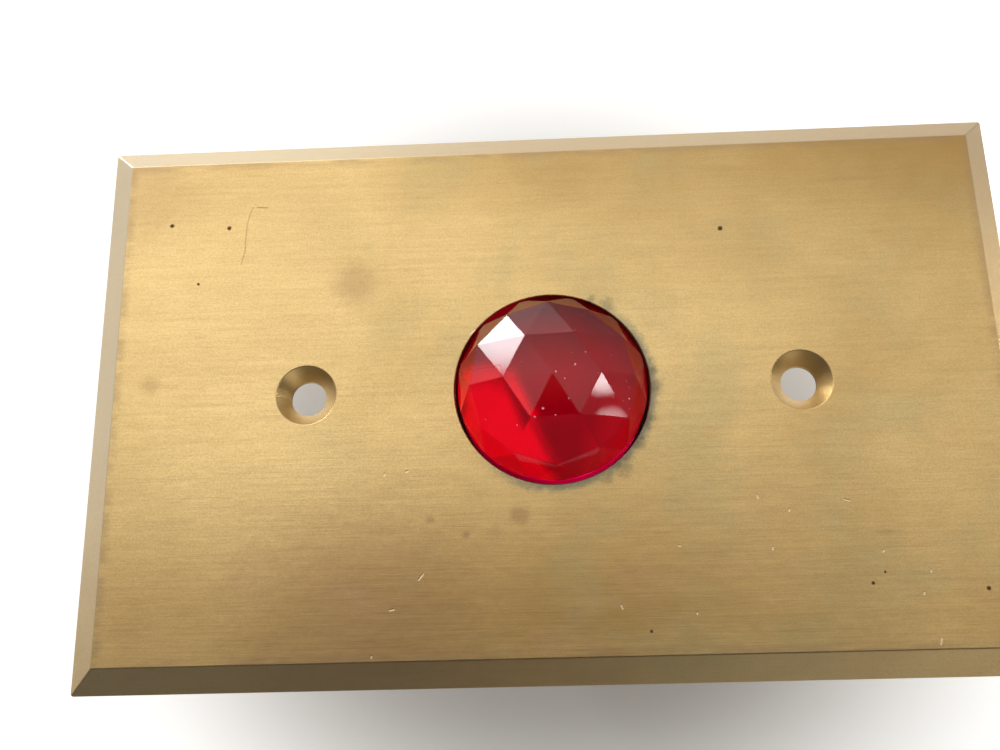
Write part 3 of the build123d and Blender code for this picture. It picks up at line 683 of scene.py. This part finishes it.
def jewel_surround(finish, colour, ragged):
    """Green tarnish and dark torn patches round the jewel's right side."""
    from_jewel = finish.difference(finish.radius(), JEWEL_HOLE_R)
    collar = finish.smooth(finish.total(from_jewel, finish.product(ragged, 1.6)), 0.2, 1.3, 1.0, 0.0)
    right_side = finish.smooth(finish.total(finish.x, finish.product(finish.y, -0.7)), -6.0, 9.0)
    verdigris = finish.product(collar, finish.product(right_side, 0.75))
    colour = finish.mix(verdigris, colour, VERDIGRIS_GREEN)
    torn = finish.product(finish.difference(finish.noise(finish.place, 0.9, 5.0, 0.7), 0.5), 4.0)
    patches = finish.spots(RIM_PATCHES, torn, 0.8)
    return finish.mix(finish.product(patches, 0.45), colour, TORN_PATCH), verdigris


def plain_sheet(finish):
    """Blotched brass sheet, as on the plate's back."""
    blotches = finish.smooth(finish.noise(finish.place, 0.09, 5.0, 0.6, 0.5), 0.35, 0.65)
    return finish.mix(blotches, BRIGHT_SHEET, DULL_SHEET)


def plate_finish(name):
    """Old satin brass, brushed along the long side, tarnished, with marks of its use, painted shade
    across the face and a painted reflection on the bevels.
    """
    finish = Finish(name)
    ragged = finish.difference(finish.noise(finish.place, 1.4, 4.0, 0.65), 0.5)
    lay, fine_lay, broad_lay = plate_lay(finish)
    to_right = finish.smooth(finish.x, -46.0, 2.0)
    from_screw = finish.difference(finish.math("ABSOLUTE", finish.x), SCREW_X)
    from_screw = finish.vector("LENGTH", finish.combine(from_screw, finish.y, 0.0))
    sunk = finish.smooth(from_screw, COUNTERSINK_R - 0.1, COUNTERSINK_R + 0.15, 1.0, 0.0)
    back = finish.smooth(finish.z, 0.02, 0.08, 1.0, 0.0)

    # the front's skin and marks, then the turned countersinks, then the plain back
    colour, tarnish_and_painted_shade = plate_skin(finish, lay, sunk, to_right)
    colour, dark_dots, scored = plate_marks(finish, colour, ragged)
    colour = plate_edges(finish, colour, to_right)
    colour, verdigris = jewel_surround(finish, colour, ragged)
    colour = finish.mix(finish.product(sunk, 0.75), colour, TURNED_BRASS)
    colour = finish.mix(back, colour, plain_sheet(finish))

    soiled = finish.total(finish.product(dark_dots, 0.4), finish.product(verdigris, 0.35))
    rough = finish.smooth(lay, 0.3, 0.7, 0.27, 0.40)
    rough = finish.total(rough, finish.product(tarnish_and_painted_shade, 0.08))
    rough = finish.total(rough, soiled)
    rough = finish.total(rough, finish.product(sunk, 0.04))

    scored = finish.product(scored, finish.inverted(back))
    turning = finish.noise(from_screw, 6.0, 2.0)
    relief = finish.bump(finish.product(fine_lay, finish.inverted(sunk)), 0.010, 0.6)
    relief = finish.bump(broad_lay, 0.02, 0.5, relief)
    relief = finish.bump(finish.noise(finish.place, 0.25, 2.0), 0.12, 0.35, relief)
    relief = finish.bump(scored, -0.03, 0.7, relief)
    relief = finish.bump(finish.product(turning, sunk), 0.004, 0.4, relief)
    finish.set(Base_Color=colour, Metallic=1.0, Roughness=rough, Anisotropic=0.45, Normal=relief)
    finish.set(Tangent=finish.combine(1.0, 0.0, 0.0))
    return finish.material


FINISHES = {
    "aged_brass": plate_finish("aged_brass_look"),
    "ruby_glass": ruby_finish("ruby_glass_look"),
    "turned_brass": metal(
        "turned_brass_look", (0.72, 0.52, 0.24), (0.48, 0.33, 0.15), 0.30, turned=True
    ),
    "stud_brass": metal(
        "stud_brass_look", (0.62, 0.44, 0.20), (0.40, 0.27, 0.12), 0.38, lay=(2.0, 2.0, 0.3)
    ),
    "terminal_brass": metal("terminal_brass_look", (0.80, 0.60, 0.29), (0.56, 0.39, 0.17), 0.27),
    "phosphor_bronze": metal("phosphor_bronze_look", (0.72, 0.44, 0.25), (0.47, 0.27, 0.15), 0.28),
    "copper_rivet": metal("copper_rivet_look", (0.78, 0.40, 0.26), (0.42, 0.20, 0.12), 0.35),
    "silver_contact": metal("silver_contact_look", (0.86, 0.85, 0.82), (0.58, 0.55, 0.49), 0.25),
    "tinned": tin_finish("tinned_look"),
    "spring_wire": metal("spring_wire_look", (0.42, 0.42, 0.43), (0.25, 0.24, 0.23), 0.34),
    "zinc_steel": metal("zinc_steel_look", (0.62, 0.63, 0.64), (0.44, 0.43, 0.41), 0.36),
    "blued_clip": metal("blued_clip_look", (0.075, 0.08, 0.095), (0.05, 0.045, 0.04), 0.36),
    "cork": cork_finish("cork_look"),
    "red_fibre": fibre("red_fibre_look", (0.22, 0.045, 0.03), (0.36, 0.09, 0.06), 0.7),
    "grey_fibre": fibre("grey_fibre_look", (0.10, 0.095, 0.09), (0.20, 0.19, 0.18), 0.75),
    "brown_bakelite": moulded("brown_bakelite_look", (0.050, 0.022, 0.013), (0.105, 0.045, 0.025), 0.30),
    "black_bakelite": moulded("black_bakelite_look", (0.012, 0.011, 0.011), (0.030, 0.027, 0.026), 0.32),
}


def dress(piece, slot_name):
    """Gives a piece the finish of one material slot of the record."""
    piece.data.materials.clear()
    piece.data.materials.append(FINISHES[slot_name])


for subpart in frame["record"]["subparts"]:
    dress(frame["nodes"][subpart["node"]], subpart["material_slot"])


# ---- return spring: closed and ground at both ends ----
def spring_mesh(name):
    """Rings of points along the wire. The end turns lie close, and the turns between are open."""
    low = SPRING_BOTTOM + GROUND_SHARE * SPRING_WIRE_R
    high = SPRING_TOP - GROUND_SHARE * SPRING_WIRE_R
    closed_rise = SPRING_CLOSED_PITCH * SPRING_WIRE_R
    active_turns = SPRING_TURNS - 2 * SPRING_CLOSED_TURNS
    active_rise = (high - low - 2 * SPRING_CLOSED_TURNS * closed_rise) / active_turns
    steps = int(SPRING_TURNS * SPRING_STEPS)
    points = []
    height = low
    for step in range(steps + 1):
        turn = SPRING_TURNS * step / steps
        into = min(turn, SPRING_TURNS - turn) - SPRING_CLOSED_TURNS
        ease = min(max(into * 2 + 0.5, 0.0), 1.0)
        rise = closed_rise + (active_rise - closed_rise) * ease * ease * (3 - 2 * ease)
        angle = math.tau * turn
        out = Vector((math.cos(angle), math.sin(angle), 0.0))
        run = math.tau * SPRING_R
        along = Vector((-math.sin(angle) * run, math.cos(angle) * run, rise))
        up = out.cross(along.normalized())
        for side in range(WIRE_SIDES):
            around = -math.tau * side / WIRE_SIDES
            point = out * (SPRING_R + SPRING_WIRE_R * math.cos(around))
            point += up * (SPRING_WIRE_R * math.sin(around))
            z = min(max(point.z + height, SPRING_BOTTOM), SPRING_TOP)
            points.append((point.x, point.y, z))
        height += rise * SPRING_TURNS / steps
    return mesh_from(name, points, tube_faces(steps + 1, WIRE_SIDES, 0), 50)


spring = add_object("return_spring_coil", spring_mesh("return_spring_coil"))
dress(spring, "spring_wire")
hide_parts("return_spring")
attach(spring, "plate")
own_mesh(spring)


# ---- studs with cut threads at their ends ----
def stud_points(centre_x, centre_y):
    """Rings of points down one stud: plain, then threaded, then chamfered."""
    steps = int((THREAD_TOP - STUD_END) / THREAD_PITCH * THREAD_STEPS)
    heights = [STUD_TOP] + [THREAD_TOP - (THREAD_TOP - STUD_END) * i / steps for i in range(steps + 1)]
    points = []
    for height in heights:
        fade = min(max((THREAD_TOP - height) / THREAD_PITCH, 0.0), 1.0)
        chamfer = max(0.0, STUD_CHAMFER - (height - STUD_END))
        for side in range(THREAD_SIDES):
            angle = math.tau * side / THREAD_SIDES
            phase = (height / THREAD_PITCH + side / THREAD_SIDES) % 1.0
            cut = THREAD_DEPTH * fade * min(1.0, abs(2 * phase - 1) * THREAD_FLANK)
            radius = min(STUD_R - cut, STUD_R - chamfer)
            x = centre_x + radius * math.cos(angle)
            y = centre_y + radius * math.sin(angle)
            points.append((x, y, height))
    return points, len(heights)


stud_places = [
    (STUD_CIRCLE_R * math.cos(math.radians(angle)), STUD_CIRCLE_R * math.sin(math.radians(angle)))
    for angle in STUD_ANGLES
]
all_points = []
all_faces = []
for place in stud_places:
    start = len(all_points)
    rings, ring_count = stud_points(*place)
    all_points += rings
    all_faces += [tuple(reversed(face)) for face in tube_faces(ring_count, THREAD_SIDES, start)]
studs_mesh = mesh_from("mounting_studs_threaded", all_points, all_faces, 60)
studs = add_object("mounting_studs_threaded", studs_mesh)
dress(studs, "stud_brass")
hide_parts("mounting_studs")
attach(studs, "plate")


# ---- jewel: flat facets with fire-rounded edges, on a round girdle and flange ----
def cut_glass_mesh(name, source):
    """The CAD jewel with its facet edges rounded. Facets stay flat, and round walls are smooth."""
    work = bmesh.new()
    points = [work.verts.new(vertex.co) for vertex in source.vertices]
    for polygon in source.polygons:
        work.faces.new([points[index] for index in polygon.vertices])
    bmesh.ops.remove_doubles(work, verts=work.verts, dist=JEWEL_WELD * MM)
    bmesh.ops.dissolve_limit(
        work, angle_limit=math.radians(FACET_FLATNESS), verts=work.verts, edges=work.edges
    )
    ridges = []
    for edge in work.edges:
        reach = max(vertex.co.xy.length for vertex in edge.verts)
        if reach < INSIDE_GIRDLE * MM and edge.calc_face_angle(0) > math.radians(FACET_EDGE_ANGLE):
            ridges.append(edge)
    bmesh.ops.bevel(
        work, geom=ridges, offset=FACET_ROUND * MM, segments=2, profile=0.5, affect="EDGES"
    )
    mesh = bpy.data.meshes.new(name)
    work.to_mesh(mesh)
    work.free()
    mesh.set_sharp_from_angle(angle=math.radians(GLASS_SHARP_ANGLE))
    for polygon in mesh.polygons:
        inner = min(mesh.vertices[index].co.xy.length for index in polygon.vertices)
        polygon.use_smooth = inner > INSIDE_GIRDLE * MM
    return mesh


jewel = add_object("jewel_cut_glass", cut_glass_mesh("jewel_cut_glass", frame["nodes"]["jewel"].data))
dress(jewel, "ruby_glass")
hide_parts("jewel")
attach(jewel, "button")


# ---- worn edges: a small round in mm on the sharp edges of the CAD parts ----
WORN_ANGLE = 35
SPLIT_POINT_GAP = 0.001
EDGE_ROUNDS = {
    "jewel_holder": 0.06,
    "guide_barrel": 0.10,
    "contact_base": 0.12,
    "contact_carrier": 0.10,
    "contact_ring": 0.06,
    "fixed_contact_left": 0.08,
    "fixed_contact_right": 0.08,
    "terminal_clamps": 0.06,
    "terminal_screws": 0.10,
    "stud_washers": 0.06,
    "stud_lock_washers": 0.06,
    "stud_nuts": 0.08,
    "stem_end_washer": 0.06,
    "retaining_clip": 0.08,
    "spacer_tubes": 0.08,
    "plunger_stem": 0.06,
    "guide_bush": 0.08,
}
for node_name, edge_width in EDGE_ROUNDS.items():
    node = frame["nodes"][node_name]
    weld = node.modifiers.new("join_split_points", "WELD")
    weld.merge_threshold = SPLIT_POINT_GAP * MM
    worn = node.modifiers.new("worn_edges", "BEVEL")
    worn.width = edge_width * MM
    worn.segments = 2
    worn.limit_method = "ANGLE"
    worn.angle_limit = math.radians(WORN_ANGLE)
    worn.harden_normals = True


# ---- floor ----
floor_z = CAD_LOW.z - (TRAVEL + FLOOR_DROP) * MM
corners = [
    (-FLOOR_HALF, -FLOOR_HALF),
    (FLOOR_HALF, -FLOOR_HALF),
    (FLOOR_HALF, FLOOR_HALF),
    (-FLOOR_HALF, FLOOR_HALF),
]
floor_mesh = bpy.data.meshes.new("floor")
floor_mesh.from_pydata([(x, y, floor_z) for x, y in corners], [], [(0, 1, 2, 3)])
floor = add_object("floor", floor_mesh)
floor_finish = Finish("floor_look")
out_from_axis = floor_finish.radius()
# painted pool of light round the axis, with a painted shadow under the plate
painted_light_pool = floor_finish.smooth(out_from_axis, *FLOOR_LIGHT_POOL_REACH, FLOOR_GLOW, FLOOR_FAR_GLOW)
glow_with_painted_shadow = floor_finish.smooth(out_from_axis, *FLOOR_PAINTED_SHADOW_REACH, FLOOR_PAINTED_SHADOW, FLOOR_GLOW)
floor_finish.set(
    Base_Color=FLOOR_COLOUR,
    Roughness=0.9,
    Emission_Color=FLOOR_COLOUR,
    Emission_Strength=floor_finish.math("MINIMUM", painted_light_pool, glow_with_painted_shadow),
)
floor_mesh.materials.append(floor_finish.material)

# ---- sky ----
world = bpy.data.worlds.new("studio")
world.use_nodes = True
bpy.context.scene.world = world
sky = Graph(world.node_tree)
towards = sky.add("ShaderNodeTexCoord").outputs["Generated"]
glow = sky.times(SKY_COLOUR, SKY_LEVEL)
for azimuth, elevation, core, edge, strength, colour in LIGHT_LOBES:
    turn, lift = math.radians(azimuth), math.radians(elevation)
    aim = (math.cos(turn) * math.cos(lift), math.sin(turn) * math.cos(lift), math.sin(lift))
    closeness = sky.vector("DOT_PRODUCT", towards, aim)
    share = sky.smooth(closeness, math.cos(math.radians(edge)), math.cos(math.radians(core)))
    glow = sky.vector("ADD", glow, sky.times(colour, sky.product(share, strength)))
glow = sky.vector("MAXIMUM", glow, (0.0, 0.0, 0.0))
seen = sky.add("ShaderNodeLightPath").outputs["Is Camera Ray"]
shown = sky.mix(seen, glow, BACKDROP_COLOUR)
background = sky.add("ShaderNodeBackground", None, {"Color": shown})
sky.add("ShaderNodeOutputWorld", None, {"Surface": background.outputs[0]})

# ---- camera ----
camera_data = bpy.data.cameras.new("camera")
camera_data.lens = CAMERA_LENS
camera_data.sensor_width = CAMERA_SENSOR
camera_data.clip_start = CLIP_NEAR
camera_data.clip_end = CLIP_FAR
camera = bpy.data.objects.new("camera", camera_data)
camera.location = Vector(CAMERA_AT) * MM
camera.rotation_euler = [math.radians(angle) for angle in CAMERA_TURN]
bpy.context.scene.collection.objects.link(camera)
bpy.context.scene.camera = camera
bpy.context.scene.view_settings.view_transform = "Standard"
